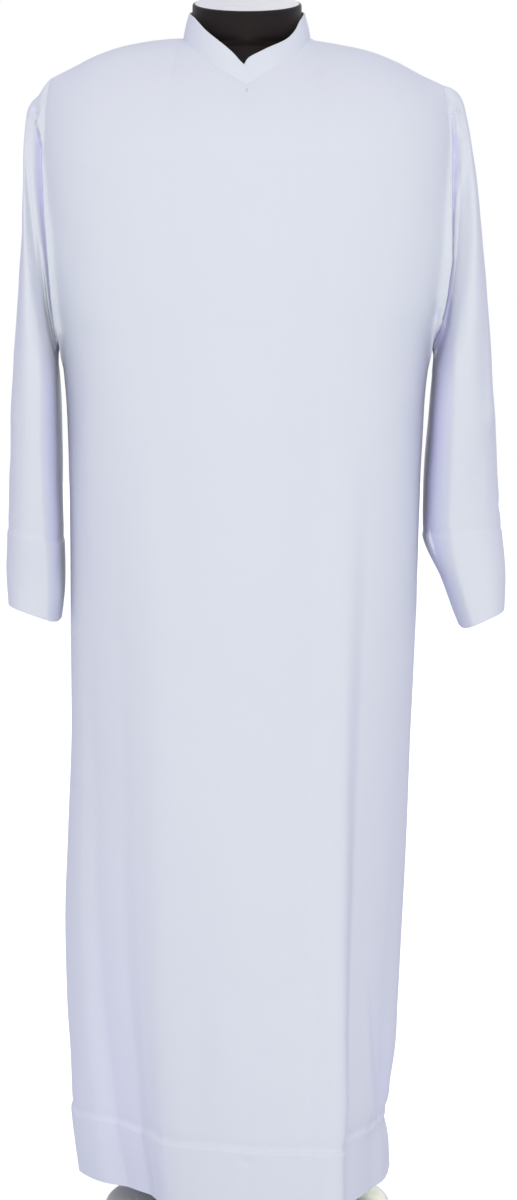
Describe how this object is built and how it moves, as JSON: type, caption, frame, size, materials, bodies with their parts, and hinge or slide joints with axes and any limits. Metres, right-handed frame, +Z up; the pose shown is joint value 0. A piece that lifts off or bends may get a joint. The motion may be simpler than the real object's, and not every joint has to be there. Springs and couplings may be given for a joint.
{
  "type": "alb on a dress form",
  "caption": "Long white alb with a notched stand collar and empty hanging sleeves, on a limbless dress form whose round base stands on the floor.",
  "frame": {"origin": "centre of the stand base's underside, on the floor", "axes": "+Z up along the pole, -Y is the alb's front, +X is on the right when the alb is seen from the front"},
  "size_m": [0.6143, 0.402, 1.5204],
  "materials": {
    "alb_cloth": "plain weave, white, soft sheen",
    "form_cover": "smooth near-black jersey",
    "stand_metal": "satin white paint"
  },
  "bodies": {
    "root": {"alb_front": "alb_cloth", "alb_back": "alb_cloth", "alb_sleeve_left": "alb_cloth", "alb_sleeve_right": "alb_cloth", "alb_collar": "alb_cloth", "dress_form": "form_cover", "stand_pole": "stand_metal", "stand_base": "stand_metal"}
  },
  "joints": []
}
